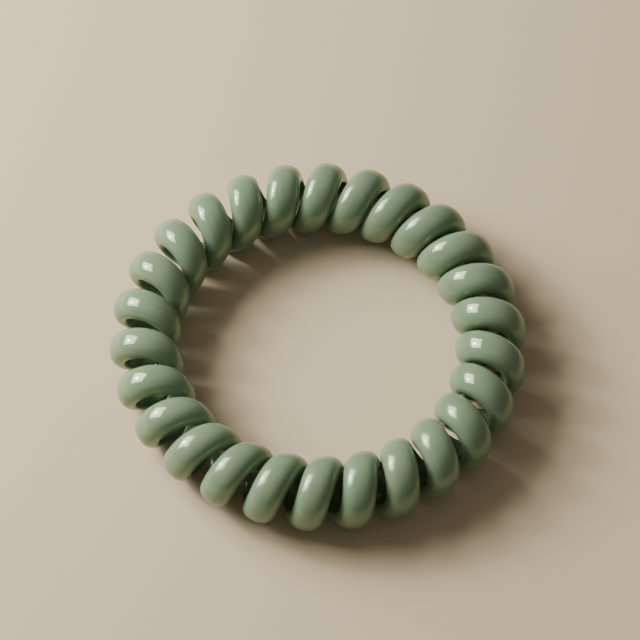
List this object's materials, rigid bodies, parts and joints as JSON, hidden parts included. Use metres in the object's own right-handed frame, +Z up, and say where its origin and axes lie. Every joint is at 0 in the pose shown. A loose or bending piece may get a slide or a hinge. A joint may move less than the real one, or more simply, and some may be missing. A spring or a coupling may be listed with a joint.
{
  "type": "spiral hair tie",
  "caption": "Spiral hair tie: a rounded plastic strand wound into a close coil that closes on itself as a springy ring.",
  "frame": {"origin": "centre of the ring, on the surface that it lies on", "axes": "+Z up along the ring's own axis, +X and +Y in the plane of the ring"},
  "size_m": [0.0548, 0.0546, 0.0095],
  "materials": {
    "strand_plastic": "glossy sage green elastomer"
  },
  "bodies": {
    "root": {"coil_strand": "strand_plastic"}
  },
  "joints": []
}
